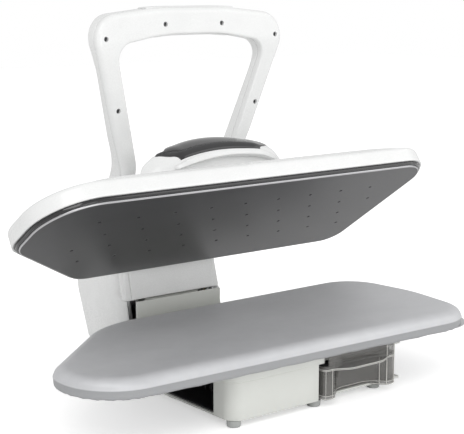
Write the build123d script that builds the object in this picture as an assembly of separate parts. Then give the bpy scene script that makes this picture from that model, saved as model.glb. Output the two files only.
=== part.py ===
from build123d import *
import os
from math import cos, hypot, radians, sin, sqrt, tan

os.makedirs("parts", exist_ok=True)

# Steam ironing press, in millimetres and degrees. X runs along the board from the nose to the tail,
# Y from the user's side to the hinge side, Z up. The handle is raised, as the press is when it is loaded.

# Whole press
board_length = 660.0
board_width = 270.0
rear_depth = 218.0
wall = 3.0
running_gap = 0.3
shaft_play = 0.05

# Heights of the base and the board
foot_height = 8.5
floor_thickness = 3.0
lip_height = 58.7
deck_height = 73.0
board_thickness = 26.5
cover_thickness = 1.4
plate_thickness = 1.5

# Handle, platen and their motion
center_x = 14.0
handle_travel = 56.0
platen_tilt = 34.2
press_gap = 0.6
hinge_setback = 87.0
hinge_z = 95.0
hinge_pin_radius = 6.0
eye_radius = 13.0
pivot_shaft_radius = 5.0
link_pin_radius = 3.0
link_play = 0.8

# Places of the moving pins from the hinge line: to the back and up, with the handle raised
pivot_setback = 26.4
pivot_rise = 91.9
link_foot_setback = 5.7
link_foot_rise = -16.0
link_head_setback = 25.4
link_head_rise = 29.5

# Offsets of the side-by-side plates from the handle's middle plane
frame_offset = 74.0
frame_thickness = 4.0
tower_offset = 63.0
tower_thickness = 4.0
link_offset = 55.0
link_thickness = 4.0
carrier_offset = 47.0
carrier_thickness = 4.0

boss_rise = 1.5

half_length = board_length / 2
half_width = board_width / 2
back_y = (board_width + rear_depth) / 2
front_y = -back_y
board_y = front_y + half_width
board_top = deck_height + board_thickness
floor_top = foot_height + floor_thickness
hinge_y = board_y + half_width + hinge_setback
board_screw_places = [(x, board_y + dy) for x in (-100, 160) for dy in (-76, 79)]


def grown(corners, distance):
    """Moves every edge of a counter-clockwise rounded polygon outwards."""
    moved = []
    count = len(corners)
    for index in range(count):
        ax, ay, _ = corners[index - 1]
        bx, by, radius = corners[index]
        cx, cy, _ = corners[(index + 1) % count]
        before = hypot(bx - ax, by - ay)
        after = hypot(cx - bx, cy - by)
        n1x, n1y = (by - ay) / before, (ax - bx) / before
        n2x, n2y = (cy - by) / after, (bx - cx) / after
        scale = distance / (1 + n1x * n2x + n1y * n2y)
        turn = (bx - ax) * (cy - by) - (by - ay) * (cx - bx)
        new_radius = radius + distance if turn > 0 else radius - distance
        moved.append((bx + scale * (n1x + n2x), by + scale * (n1y + n2y), max(new_radius, 0.2)))
    return moved


def shifted(corners, dx, dy):
    return [(x + dx, y + dy, radius) for x, y, radius in corners]


def mirrored(half):
    """Closes a right-hand half outline, listed from bottom to top, across its own middle line."""
    return half + [(-x, y, radius) for x, y, radius in reversed(half)]


def outline(corners):
    points = [(x, y) for x, y, _ in corners]
    radii = [radius for _, _, radius in corners]
    return make_face(FilletPolyline(*points, radius=radii, close=True))


def rectangle(x0, y0, x1, y1, radius=0.0):
    return [(x0, y0, radius), (x1, y0, radius), (x1, y1, radius), (x0, y1, radius)]


def plan_prism(corners, z0, z1):
    return extrude(Pos(0, 0, z0) * outline(corners), z1 - z0)


def side_prism(corners, x0, x1):
    return extrude(Plane.YZ.offset(x0) * outline(corners), x1 - x0)


def front_prism(corners, y0, y1):
    return extrude(Plane.XZ.offset(-y1) * outline(corners), y1 - y0)


def block(x0, x1, y0, y1, z0, z1):
    return Pos((x0 + x1) / 2, (y0 + y1) / 2, (z0 + z1) / 2) * Box(x1 - x0, y1 - y0, z1 - z0)


def rod_x(radius, x0, x1, y, z):
    return Pos((x0 + x1) / 2, y, z) * Rot(0, 90, 0) * Cylinder(radius, x1 - x0)


def rod_y(radius, x, y0, y1, z):
    return Pos(x, (y0 + y1) / 2, z) * Rot(90, 0, 0) * Cylinder(radius, y1 - y0)


def rod_z(radius, x, y, z0, z1):
    return Pos(x, y, (z0 + z1) / 2) * Cylinder(radius, z1 - z0)


def tapered(lower, z0, upper, z1):
    """Straight-sided solid between two outlines with the same number of corners."""
    return loft([Pos(0, 0, z0) * outline(lower), Pos(0, 0, z1) * outline(upper)], ruled=True)


def both_sides(shape):
    """The shape and its mirror image across the handle's middle plane."""
    return [shape, mirror(shape, Plane.YZ.offset(center_x))]


def group(shapes):
    return Compound(children=[solid for shape in shapes for solid in shape.solids()])


def save(name, shape):
    export_step(shape, f"parts/{name}.step")


def turned(y, z, angle):
    """A point of the Y-Z plane turned about X by an angle."""
    c, s = cos(radians(angle)), sin(radians(angle))
    return c * y - s * z, s * y + c * z


# Outlines

nose_setback = 16.0
board_corners = shifted([
    (3 - half_length, nose_setback + 2 - half_width, 76),
    (half_length - 18, -half_width, 60),
    (half_length + 2.4, 2, 250),
    (half_length - 12, half_width - 4, 70),
    (-half_length / 2 - 4, half_width - 7, 130),
    (3 - half_length, -13, 53),
], 0, board_y)

rim_margin = 7.5
rim_back = half_width + 12.0
rim_front = 8.0 - half_width
rim_corners = [
    (-half_length, rim_front, 78),
    (half_length - 11, rim_front, 60),
    (half_length - 11, rim_back, 38),
    (-half_length / 2 - 6, rim_back, 58),
    (-half_length, 4, 53),
]
rim_middle = (rim_back + rim_front) / 2
sole_corners = grown(rim_corners, -rim_margin)

# The platen lies flat on the board when the handle is down. Turning the handle up carries its pivot to
# the raised place, where the platen hangs from it at its own tilt.
closed_y = board_y - rim_middle
closed_z = board_top + press_gap
pivot_y = hinge_y + pivot_setback
pivot_z = hinge_z + pivot_rise
lowered_y, lowered_z = turned(pivot_setback, pivot_rise, handle_travel)
pivot_v = hinge_y + lowered_y - closed_y
pivot_h = hinge_z + lowered_z - closed_z
hang_y, hang_z = turned(pivot_v, pivot_h, -platen_tilt)
platen_y = pivot_y - hang_y
platen_z = pivot_z - hang_z
link_foot_y = hinge_y + link_foot_setback
link_foot_z = hinge_z + link_foot_rise
link_head_y = hinge_y + link_head_setback
link_head_z = hinge_z + link_head_rise
head_v, head_h = turned(link_head_y - platen_y, link_head_z - platen_z, platen_tilt)
platen_place = Pos(0, platen_y, platen_z) * Rot(-platen_tilt, 0, 0)


def save_on_platen(name, shape):
    save(name, platen_place * shape)


# Board

def padded_prism(corners, z0, z1, top_round, bottom_round):
    """A prism with soft upper and lower edges."""
    solid = plan_prism(corners, z0, z1)
    solid = fillet(solid.edges().group_by(Axis.Z)[-1], top_round)
    return fillet(solid.edges().group_by(Axis.Z)[0], bottom_round)


def make_board():
    wrap = 28.0
    top_round = 13.0
    bottom_round = 5.0
    plate_bottom = deck_height + boss_rise
    board_plate = plan_prism(grown(board_corners, -4.6), plate_bottom, plate_bottom + plate_thickness)
    for x, y in board_screw_places:
        board_plate -= rod_z(2.1, x, y, plate_bottom - 1, plate_bottom + plate_thickness + 1)
    pad_bottom = plate_bottom + plate_thickness
    pad_top = board_top - cover_thickness - running_gap
    pad = padded_prism(grown(board_corners, -cover_thickness - running_gap), pad_bottom, pad_top,
                       top_round - cover_thickness - running_gap, 1.5)
    cover = padded_prism(board_corners, deck_height, board_top, top_round, bottom_round)
    cover -= padded_prism(grown(board_corners, -cover_thickness), deck_height + cover_thickness,
                          board_top - cover_thickness, top_round - cover_thickness,
                          bottom_round - cover_thickness)
    cover -= plan_prism(grown(board_corners, -wrap), deck_height - 1, deck_height + 3)
    save("board_plate", board_plate)
    save("board_pad", pad)
    save("board_cover", cover)


# Base

box_left = -118.0
box_right = 28.0
deck_right = 190.0
box_front = front_y + 31.0
box_back = hinge_y - 43.0
bay_back = box_back - 120.0
tray_half_width = 90.0
tray_back = back_y - 16.0
feet_x = (-107.0, 28.0, 147.0)
foot_radius = 9.0

housing_corners = [
    (box_left, box_front, 20),
    (box_right, box_front, 1.5),
    (box_right, bay_back, 1),
    (deck_right, bay_back, 4),
    (deck_right, box_back, 10),
    (box_left, box_back, 10),
]
recess_front = box_front + 39.0
recess_back = box_back - 40.0
bay_front = box_front + 10.0
water_x = 98.0
inlet_x = -87.0
hose_x = 34.0
hose_z = 24.0
hose_radius = 3.5
tower_bolt_places = [(center_x + side * (tower_offset - 7), hinge_y + dy)
                     for side in (-1, 1) for dy in (4, 36)]


def make_base():
    inside = grown(housing_corners, -wall - running_gap)
    floor = plan_prism(inside, foot_height, floor_top)
    floor += block(box_right - 10, deck_right - wall - running_gap, bay_front, bay_back + 10, foot_height,
                   floor_top)
    rear = rectangle(center_x - tray_half_width, box_back - 20, center_x + tray_half_width, tray_back, 30)
    floor += plan_prism(rear, foot_height, floor_top)
    for x, y in tower_bolt_places:
        floor -= rod_z(2.1, x, y, foot_height - 1, floor_top + 1)
    housing = plan_prism(housing_corners, foot_height, lip_height)
    housing -= plan_prism(grown(housing_corners, -wall), foot_height - 1, lip_height + 1)
    housing -= block(box_left - 5, box_left + 8, recess_front, recess_back, floor_top, lip_height + 1)
    housing -= block(center_x - tray_half_width - 1, center_x + tray_half_width + 1, box_back - wall - 1,
                     box_back + 1, foot_height - 1, floor_top + running_gap)
    housing -= block(box_right - wall - 1, box_right + 1, bay_front - running_gap, bay_back + 1,
                     foot_height - 1, floor_top + running_gap)
    housing -= block(box_right - 10, deck_right - wall, bay_back - 1, bay_back + wall + 1, foot_height - 1,
                     floor_top + running_gap)
    housing -= block(water_x - 12, water_x + 12, bay_back - 1, bay_back + wall + 1, 22, 40)
    housing -= block(inlet_x - 16.5, inlet_x + 16.5, box_back - wall - 1, box_back + 1, 22.5, 45.5)
    housing -= rod_y(hose_radius + 1, hose_x, box_back - wall - 1, box_back + 1, hose_z)
    save("base_tray", floor)
    save("base_housing", housing)

    deck_corners = [
        (box_left - 1, box_front - 1, 21),
        (box_right + 10, box_front - 1, 3),
        (box_right + 10, box_front + 8, 1),
        (deck_right, box_front + 8, 8),
        (deck_right, box_back + 1, 11),
        (box_left - 1, box_back + 1, 11),
    ]
    deck = plan_prism(deck_corners, lip_height, deck_height)
    deck -= plan_prism(grown(deck_corners, -wall), lip_height - 1, deck_height - wall)
    screws = []
    for x, y in board_screw_places:
        deck += rod_z(10, x, y, deck_height - wall, deck_height + boss_rise)
        deck -= rod_z(2.1, x, y, deck_height - wall - 1, deck_height + 5)
        screw = rod_z(2, x, y, deck_height - wall, deck_height + boss_rise + plate_thickness)
        screws.append(screw + rod_z(4.5, x, y, deck_height - wall - 2.5, deck_height - wall))
    save("base_deck", deck)
    save("board_screws", group(screws))

    liner_back = -62.0
    liner_left = box_left + wall + running_gap
    liner = block(liner_left, liner_back, recess_front + 1, recess_back - 1, floor_top, lip_height - 0.2)
    liner -= block(liner_left - 1, liner_back - 2, recess_front + 3, recess_back - 3, floor_top + 2,
                   lip_height - 2.2)
    rib_pitch = 14.0
    rib_depth = 5.0
    rib_count = int((recess_back - recess_front - 20) // rib_pitch)
    for index in range(rib_count):
        y = recess_front + 12 + index * rib_pitch
        liner += block(liner_back - 2 - rib_depth, liner_back - 2, y, y + 1.6, floor_top + 2, lip_height - 2.2)
    save("recess_liner", liner)

    foot_places = [(feet_x[0], box_front + 11), (feet_x[1], box_front + 11), (feet_x[2], box_front + 21)]
    foot_places += [(feet_x[0], box_back - 22), (feet_x[2], box_back - 22)]
    foot_places += [(center_x - 64, tray_back - 16), (center_x + 64, tray_back - 16)]
    feet = []
    for x, y in foot_places:
        foot = rod_z(foot_radius, x, y, 0, foot_height)
        feet.append(chamfer(foot.edges().group_by(Axis.Z)[0], 1.2))
    save("feet", group(feet))

    inlet = block(inlet_x - 16, inlet_x + 16, box_back - 20, box_back + 2, 23, 45)
    inlet += block(inlet_x - 18, inlet_x + 18, box_back, box_back + 2, 20.5, 47.5)
    inlet -= block(inlet_x - 12, inlet_x + 12, box_back - 14, box_back + 3, 26, 42)
    save("power_inlet", inlet)
    save("inlet_pins", group([
        block(inlet_x + dx - 1, inlet_x + dx + 1, box_back - 14, box_back - 2, z - 2.5, z + 2.5)
        for dx, z in ((-6, 31), (6, 31), (0, 37))]))


# Water system

tank_left = 33.0
tank_right = 163.0
tank_front = box_front - 6.0
tank_back = bay_back - 6.0
tank_bottom = floor_top + 0.5
tank_top = 55.0
tank_wall = 2.2
fascia_top = 70.0
fascia_back = box_front + 6.0
plug_x = 140.0
plug_y = tank_back - 29.0
pump_front = box_back - 80.0


def tank_outline(middle_setback):
    """Plan of the tank with its front drawn in, or pushed out, between the two front corners."""
    middle_y = tank_front + middle_setback
    return [
        (tank_left, tank_front, 6),
        (tank_left + 16, tank_front - 1, 8),
        (tank_left + 38, middle_y, 30),
        (tank_right - 36, middle_y, 30),
        (tank_right - 14, tank_front - 1, 8),
        (tank_right, tank_front, 6),
        (tank_right, tank_back, 6),
        (tank_left, tank_back, 6),
    ]


def make_water():
    lower = tank_outline(20)
    upper = tank_outline(6)
    ledge_z = 48.5
    tank = plan_prism(lower, tank_bottom, tank_top)
    tank += plan_prism(upper, ledge_z, tank_top)
    tank += plan_prism(tank_outline(-12), ledge_z, ledge_z + 2.4)
    tank += plan_prism(lower, foot_height, tank_bottom) & block(0, 200, tank_front - 20, bay_front - 1, 0, 30)
    tank -= plan_prism(grown(lower, -tank_wall), tank_bottom + tank_wall, tank_top + 1)
    tank -= plan_prism(grown(upper, -tank_wall), ledge_z + 2.4, tank_top + 1)
    fascia = plan_prism(upper, tank_top, fascia_top) - plan_prism(grown(upper, -tank_wall), 50, 80)
    lip_end = block(0, box_right + 10.8, front_y, 0, lip_height - 1, 80)
    tank += (fascia - lip_end) & block(0, 200, front_y, fascia_back, tank_top, fascia_top)
    tank -= rod_y(5, water_x, tank_back - 6, tank_back + 1, 31)
    save("water_tank", tank)
    lid = plan_prism(upper, tank_top, tank_top + 1.8) & block(0, 200, fascia_back + running_gap, back_y, 50, 60)
    lid += plan_prism(grown(upper, -tank_wall - 0.2), tank_top - 3, tank_top)
    lid -= plan_prism(grown(upper, -tank_wall - 2), tank_top - 4, tank_top - 0.5)
    lid -= rod_z(9, plug_x, plug_y, tank_top - 5, tank_top + 3)
    save("tank_lid", lid)
    plug = rod_z(8.9, plug_x, plug_y, tank_top - 4, tank_top + 1.8)
    plug -= rod_z(6.5, plug_x, plug_y, tank_top - 5, tank_top)
    save("filler_plug", plug)
    spout = rod_y(5, water_x, tank_back - 8, tank_back + 3, 31)
    spout -= rod_y(2.5, water_x, tank_back - 9, tank_back + 4, 31)
    save("tank_valve", spout)
    socket = rod_y(9, water_x, tank_back + 3 + running_gap, bay_back + 18, 31)
    socket += block(water_x - 11.7, water_x + 11.7, bay_back, bay_back + wall, 22.3, 39.7)
    socket -= rod_y(3, water_x, tank_back, bay_back + 19, 31)
    save("tank_socket", socket)
    pump = block(water_x - 24, water_x + 24, pump_front, pump_front + 52, floor_top, 46)
    pump += rod_y(14, water_x, pump_front + 52, pump_front + 68, 29)
    pump += rod_y(4, water_x, pump_front - 8, pump_front, 31)
    pump += block(60, water_x - 24, pump_front + 14, pump_front + 26, 18, 30)
    pump -= rod_y(1.8, water_x, pump_front - 9, pump_front + 20, 31)
    save("water_pump", pump)
    coupler = rod_y(6, water_x, bay_back + 18, pump_front, 31)
    coupler -= rod_y(4, water_x, pump_front - 8, pump_front + 1, 31)
    coupler -= rod_y(2.5, water_x, bay_back + 17, pump_front - 7, 31)
    save("pump_coupler", coupler)
    hose_line = FilletPolyline((60, pump_front + 20, hose_z), (hose_x, pump_front + 20, hose_z),
                               (hose_x, hinge_y - 1, hose_z), (hose_x, hinge_y - 1, 62), radius=[18, 18])
    hose = sweep(Plane(hose_line @ 0, z_dir=hose_line % 0) * Circle(hose_radius), path=hose_line)
    save("water_hose", hose)


# Hinge tower

def ring_x(outer, inner, x0, x1, y, z):
    return rod_x(outer, x0, x1, y, z) - rod_x(inner, x0 - 1, x1 + 1, y, z)


def make_tower():
    eye = eye_radius
    bush_outer = 9.0
    x0 = center_x + tower_offset
    x1 = x0 + tower_thickness
    plate_corners = [(hinge_y - 22, floor_top, 2), (hinge_y + 60, floor_top, 2),
                     (hinge_y + eye, hinge_z - 2, 10), (hinge_y + eye, hinge_z + eye, eye - 1),
                     (hinge_y - eye, hinge_z + eye, eye - 1), (hinge_y - eye, hinge_z - 6, 10)]
    plate = side_prism(plate_corners, x0, x1)
    plate += block(x0 - 14, x0, hinge_y - 10, hinge_y + 50, floor_top, floor_top + 3)
    stud_y, stud_z = spring_end()
    plate += block(x0, x1, hinge_y + 6, hinge_y + stud_y, hinge_z + stud_z - 4, hinge_z + stud_z + 4)
    plate += rod_x(4, x0, x1, hinge_y + stud_y, hinge_z + stud_z)
    plate += rod_x(1.6, x1, center_x + frame_offset - 0.3, hinge_y + stud_y, hinge_z + stud_z)
    plate -= rod_x(bush_outer, x0 - 1, x1 + 1, hinge_y, hinge_z)
    plate -= rod_x(link_pin_radius, x0 - 1, x1 + 1, link_foot_y, link_foot_z)
    bolts = []
    for x, y in tower_bolt_places:
        plate -= rod_z(2.1, x, y, floor_top - 1, floor_top + 4)
        bolts.append(rod_z(4, x, y, floor_top + 3, floor_top + 6) + rod_z(2, x, y, foot_height, floor_top + 4))
    save("tower_bolts", group(bolts))
    for name, solid in zip(("tower_right", "tower_left"), both_sides(plate)):
        save(name, solid)
    bush = ring_x(bush_outer, hinge_pin_radius + shaft_play, x0, x1, hinge_y, hinge_z)
    save("hinge_bushes", group(both_sides(bush)))
    pin = rod_x(link_pin_radius, center_x + link_offset - 1.5, x1, link_foot_y, link_foot_z)
    pin += rod_x(link_pin_radius + 2, center_x + link_offset - 3, center_x + link_offset - 1.5,
                 link_foot_y, link_foot_z)
    save("link_foot_pins", group(both_sides(pin)))
    half = tower_offset - 14.6
    cover = side_prism([(hinge_y - 24, floor_top, 1), (hinge_y + 46, floor_top, 1),
                        (hinge_y + 20, 76, 10), (hinge_y - 20, 80, 10)], center_x - half, center_x + half)
    inner = side_prism([(hinge_y - 21, floor_top - 4, 1), (hinge_y + 42, floor_top - 4, 1),
                        (hinge_y + 17, 72, 8), (hinge_y - 17, 77, 8)],
                       center_x - half + wall, center_x + half - wall)
    cover -= inner
    plate_half = tower_offset + tower_thickness + 1.5
    cover += block(center_x - plate_half, center_x + plate_half, hinge_y - 30, hinge_y - 27, floor_top, 62)
    plate_half += 7
    cover += block(center_x - plate_half, center_x + plate_half, hinge_y - 30, hinge_y - 27, 60, hinge_z + 4)
    cover += block(center_x - half, center_x + half, hinge_y - 28, hinge_y - 22, floor_top + 6, 60)
    cover += ring_x(10, 7.5, center_x - half, center_x + half, hinge_y, hinge_z)
    for x in (center_x - half, center_x - 2, center_x + half - 4):
        cover += block(x, x + 4, hinge_y - 6, hinge_y + 6, 74, hinge_z - 8)
    cover += rod_z(hose_radius + 2.5, hose_x, hinge_y - 1, 62, 76)
    cover -= rod_z(hose_radius - 1, hose_x, hinge_y - 1, 61, 77)
    cover -= rod_y(hose_radius + 1, hose_x, hinge_y - 31, hinge_y - 10, hose_z)
    save("tower_cover", cover)
    bumper = block(center_x + 74, center_x + 82, back_y - 76, back_y - 48, floor_top, 17.8)
    save("open_bumpers", group(both_sides(bumper)))


# Handle

arm_front_half = [(84, 18, 10), (86, 150, 150), (101, 290, 120), (120, 342, 150), (172, 509, 36),
                  (60, 521, 400)]
window_half = [(84, 255, 18), (82, 300, 60), (130, 470, 22), (50, 484, 300)]

# Front line of the handle seen from the side, from top to bottom, with Y from the hinge line
arm_front_line = [(-69, 521, 16), (-72, 470, 100), (-43, 288, 60), (0, 200, 25), (-6, 138, 80), (-30, 18, 10)]
arm_back_line = [(-15, 310, 80), (-47, 455, 150), (-34, 521, 14)]
arm_side = [(back_y - 37, 18, 12), (back_y - 2, 112, 45)]
arm_side += shifted(arm_back_line, hinge_y, 0) + shifted(arm_front_line, hinge_y, 0)
split_depth = 11.0
screw_places = [(49, 498), (147, 480), (120.5, 381)]


def handle_face(distance):
    outer = shifted(grown(mirrored(arm_front_half), distance), center_x, 0)
    window = shifted(grown(mirrored(window_half), -distance), center_x, 0)
    return outline(outer) - outline(window)


def handle_solid(distance):
    """The whole handle with every surface moved outwards by a distance."""
    face = Plane.XZ.offset(-back_y - 50) * handle_face(distance)
    front_view = extrude(face, back_y + 70)
    side_view = side_prism(grown(arm_side, distance), center_x - 250, center_x + 250)
    return front_view & side_view


def arm_front_y(z):
    """Y of the handle's front surface at a height."""
    for (y1, z1, _), (y0, z0, _) in zip(arm_front_line, arm_front_line[1:]):
        if z >= z0:
            return hinge_y + y0 + (y1 - y0) * (z - z0) / (z1 - z0)
    return hinge_y + arm_front_line[-1][0]


def make_handle():
    body = handle_solid(0)
    shell = body - handle_solid(-wall)
    inside = center_x - tower_offset - tower_thickness - 3
    inside_right = 2 * center_x - inside
    shell -= block(inside, inside_right, hinge_y - 43, hinge_y + 17, 0, 98)
    shell -= block(inside, inside_right, hinge_y - 53, hinge_y + 77, 0, 40)
    relief = rod_x(eye_radius + 2.5, center_x + tower_offset - 4, center_x + frame_offset, hinge_y, hinge_z)
    slot_x = center_x + carrier_offset + carrier_thickness / 2
    slot = block(slot_x - 6, slot_x + 6, hinge_y - 33, hinge_y + 12, 150, 214)
    boss = rod_x(5, center_x + frame_offset + frame_thickness, center_x + 84, hinge_y + 37, 135)
    boss += rod_x(5, center_x + frame_offset + frame_thickness, center_x + 84, hinge_y + 47, 60)
    for cut in both_sides(relief) + both_sides(slot):
        shell -= cut
    for pad in both_sides(boss):
        shell += pad & body
    split = [(hinge_y + y + split_depth, z, 0) for y, z, _ in arm_front_line[1:]]
    split = [(split[0][0], 560, 0)] + split + [(split[-1][0], 0, 0)]
    front_region = side_prism([(front_y, 0, 0)] + split[::-1] + [(front_y, 560, 0)], center_x - 250,
                              center_x + 250)
    front_shell = shell & front_region
    rear_shell = shell - front_region
    screws = []
    for x, z in screw_places:
        y = arm_front_y(z)
        for side in (-1, 1):
            hole_x = center_x + side * x
            front_shell += rod_y(5, hole_x, y + 1, y + split_depth, z)
            front_shell -= rod_y(3.5, hole_x, y - 5, y + 6, z)
            front_shell -= rod_y(1.6, hole_x, y - 5, y + split_depth + 1, z)
            rear_shell += rod_y(5, hole_x, y + split_depth, y + 60, z) & body
            rear_shell -= rod_y(1.6, hole_x, y + split_depth - 1, y + split_depth + 7, z)
            screws.append(rod_y(3.2, hole_x, y + 3.8, y + 6, z) + rod_y(1.5, hole_x, y + 5, y + 17, z))
    save("handle_front_shell", front_shell)
    save("handle_rear_shell", rear_shell)
    save("handle_screws", group(screws))
    sleeve = handle_solid(1.8) - handle_solid(0.05)
    sleeve = sleeve & block(center_x - 76, center_x + 76, hinge_y - 73 + split_depth, hinge_y, 480, 540)
    sleeve -= front_region
    save("grip", sleeve)

    x0 = center_x + frame_offset
    x1 = x0 + frame_thickness
    frame_corners = [(hinge_y - 23, 30, 8), (back_y - 46, 30, 8), (back_y - 16, 112, 36),
                     (hinge_y + 47, 200, 10), (hinge_y + 15, 218, 10), (hinge_y + 6, 196, 20),
                     (hinge_y - 1, 138, 60)]
    frame = side_prism(frame_corners, x0, x1)
    frame -= rod_x(hinge_pin_radius, x0 - 1, x1 + 1, hinge_y, hinge_z)
    frame -= rod_x(pivot_shaft_radius, x0 - 1, x1 + 1, pivot_y, pivot_z)
    for name, solid in zip(("handle_frame_right", "handle_frame_left"), both_sides(frame)):
        save(name, solid)
    pin = rod_x(hinge_pin_radius, center_x + tower_offset - 3, x1, hinge_y, hinge_z)
    pin += rod_x(hinge_pin_radius + 2.5, x1, x1 + 2.2, hinge_y, hinge_z)
    save("hinge_pins", group(both_sides(pin)))
    shaft = rod_x(pivot_shaft_radius, center_x - frame_offset - frame_thickness, x1, pivot_y, pivot_z)
    save("pivot_shaft", shaft)
    clip = ring_x(pivot_shaft_radius + 3, pivot_shaft_radius, x0 - 1.4, x0 - 0.2, pivot_y, pivot_z)
    save("shaft_clips", group(both_sides(clip)))
    spring = coil_spring(x0)
    save("lift_springs", group(both_sides(spring)))
    tube_line = FilletPolyline(
        (center_x + 82.3, hinge_y + 17, 196), (center_x + 91, hinge_y - 15, 272),
        (center_x + 102.5, hinge_y - 34, 328), (center_x + 112, hinge_y - 40, 358), radius=[60, 60])
    tube = sweep(Plane(tube_line @ 0, z_dir=tube_line % 0) * Circle(4), path=tube_line)
    save("handle_tubes", group(both_sides(tube)))


spring_strip = 1.0
spring_pitch = 2.2
spring_half_turns = 6
spring_width = 4.6


def spiral(inner):
    """Half circles of growing radius, each starting where the last one ends."""
    arcs = []
    radius = inner
    middle = 0.0
    sign = 1
    for _ in range(spring_half_turns):
        arcs.append(ThreePointArc((middle + sign * radius, 0), (middle, sign * radius),
                                  (middle - sign * radius, 0)))
        radius += spring_pitch / 2
        middle += sign * spring_pitch / 2
        sign = -sign
    return arcs


def spring_end():
    """Centre of the stud that holds the outer end of the lift spring, from the hinge line."""
    end = spiral(hinge_pin_radius + 0.4 + spring_strip)[-1] @ 1
    return end.X + 1.6, end.Y


def coil_spring(x_end):
    """Flat spiral round the hinge pin that lifts the handle."""
    inner = spiral(hinge_pin_radius + 0.4)
    outer = spiral(hinge_pin_radius + 0.4 + spring_strip)
    caps = [Line(inner[0] @ 0, outer[0] @ 0), Line(inner[-1] @ 1, outer[-1] @ 1)]
    face = make_face(inner + outer + caps)
    place = Plane(origin=(x_end - spring_width - 0.3, hinge_y, hinge_z), x_dir=(0, 1, 0), z_dir=(1, 0, 0))
    return extrude(place * face, spring_width)


# Control links

def make_links():
    x0 = center_x + link_offset
    x1 = x0 + link_thickness
    eye = 6.0
    bar_half = 4.5
    dy = link_head_y - link_foot_y
    dz = link_head_z - link_foot_z
    length = hypot(dy, dz)
    ny, nz = -dz / length * bar_half, dy / length * bar_half
    bar = side_prism([(link_foot_y - ny, link_foot_z - nz, 0), (link_head_y - ny, link_head_z - nz, 0),
                      (link_head_y + ny, link_head_z + nz, 0), (link_foot_y + ny, link_foot_z + nz, 0)], x0, x1)
    bar += rod_x(eye, x0, x1, link_foot_y, link_foot_z) + rod_x(eye, x0, x1, link_head_y, link_head_z)
    bar -= rod_x(link_pin_radius + shaft_play, x0 - 1, x1 + 1, link_foot_y, link_foot_z)
    bar -= rod_x(link_pin_radius + link_play, x0 - 1, x1 + 1, link_head_y, link_head_z)
    for name, solid in zip(("control_link_right", "control_link_left"), both_sides(bar)):
        save(name, solid)


# Platen, in its own frame: X as the press, Y to the hinge side along the sole, Z away from the sole

rim_bottom = 7.0
rim_top = 31.0
rim_draft = 2.0
brow_top = 45.0
dome_top = 48.0
sole_thickness = 6.0
ring_bottom = 2.7
ring_setback = 4.2


def squeezed(corners, middle_x, middle_y, share_x, share_y):
    return [(middle_x + (x - middle_x) * share_x, middle_y + (y - middle_y) * share_y,
             radius * min(share_x, share_y)) for x, y, radius in corners]


def platen_shell(inset):
    """The platen's top housing as a solid, with its surfaces moved in by an inset."""
    draft = (rim_top - rim_bottom) * tan(radians(rim_draft))
    low = grown(rim_corners, -inset)
    high = grown(rim_corners, -inset - draft)
    brow = squeezed(grown(rim_corners, -inset - draft - 4), center_x, 0, 0.74, 0.78)
    crest = squeezed(grown(rim_corners, -inset - draft - 4), center_x, 0, 0.42, 0.52)
    wall_part = tapered(low, rim_bottom - (1 if inset else 0), high, rim_top - 4 - inset)
    shoulder = tapered(high, rim_top - 4 - inset, grown(high, -4), rim_top - inset)
    dome = tapered(grown(high, -4), rim_top - inset, brow, brow_top - inset)
    dome += tapered(brow, brow_top - inset, crest, dome_top - inset)
    return wall_part + shoulder + dome


def make_platen():
    sole = plan_prism(sole_corners, 0, sole_thickness)
    sole = chamfer(sole.edges().group_by(Axis.Z)[0], 1.2)
    vents = []
    for row, y in enumerate((-62, -20, 22, 64)):
        for column in range(9):
            vents.append(rod_z(2.2, -232 + 58 * column + 29 * (row % 2), y, -1, sole_thickness + 1))
    sole -= Compound(children=vents)
    save_on_platen("sole_plate", sole)
    chamber_inset = -44.0
    chamber = plan_prism(grown(sole_corners, chamber_inset), sole_thickness, 19)
    chamber -= plan_prism(grown(sole_corners, chamber_inset - 7), sole_thickness - 1, 16)
    save_on_platen("steam_chamber", chamber)
    heater_corners = grown(sole_corners, -33)
    heater_z = sole_thickness + 4
    heater_points = [(x, y, heater_z) for x, y, _ in heater_corners]
    start = (heater_points[3][0] + 60, heater_points[3][1], heater_z)
    finish = (heater_points[3][0] + 110, heater_points[3][1], heater_z)
    route = [start] + [heater_points[3]] + [heater_points[4]] + heater_points[:3] + [finish]
    heater_line = FilletPolyline(*route, radius=[30, 24, 45, 24, 18])
    heater = sweep(Plane(heater_line @ 0, z_dir=heater_line % 0) * Circle(4), path=heater_line)
    save_on_platen("heating_element", heater)
    ring = platen_shell(wall) & plan_prism(rim_corners, rim_bottom, 12)
    ring += plan_prism(grown(rim_corners, -ring_setback), ring_bottom, rim_bottom + 1)
    ring -= plan_prism(grown(sole_corners, 0.3), ring_bottom - 1, sole_thickness)
    ring -= plan_prism(grown(sole_corners, -6), sole_thickness - 1, 13)
    save_on_platen("insulating_ring", ring)
    housing = platen_shell(0) - platen_shell(wall)
    for side in (-1, 1):
        slot_x = center_x + side * (carrier_offset + carrier_thickness / 2)
        housing -= block(slot_x - 2.4, slot_x + 2.4, rim_back - 37, rim_back - 7, 24, 50)
    housing -= plan_prism(squeezed(pod_plan, pod_x, 0, 0.8, 0.7), 35, dome_top + 2)
    save_on_platen("platen_housing", housing)
    thermostat = rod_z(9, 60, 30, 19, 27) + rod_z(3, 60, 30, 27, 30)
    save_on_platen("thermostat", thermostat)
    fuse = rod_x(3, -40, -10, 30, 22) + block(-42, -8, 26, 34, 19, 20)
    save_on_platen("thermal_fuse", fuse)
    inlet_v = rim_back - 63
    inlet = rod_z(5, center_x, inlet_v, 19, 28) + rod_y(3, center_x, inlet_v, inlet_v + 20, 24)
    inlet -= rod_y(1.5, center_x, inlet_v + 1, inlet_v + 21, 24)
    save_on_platen("steam_inlet", inlet)


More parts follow.
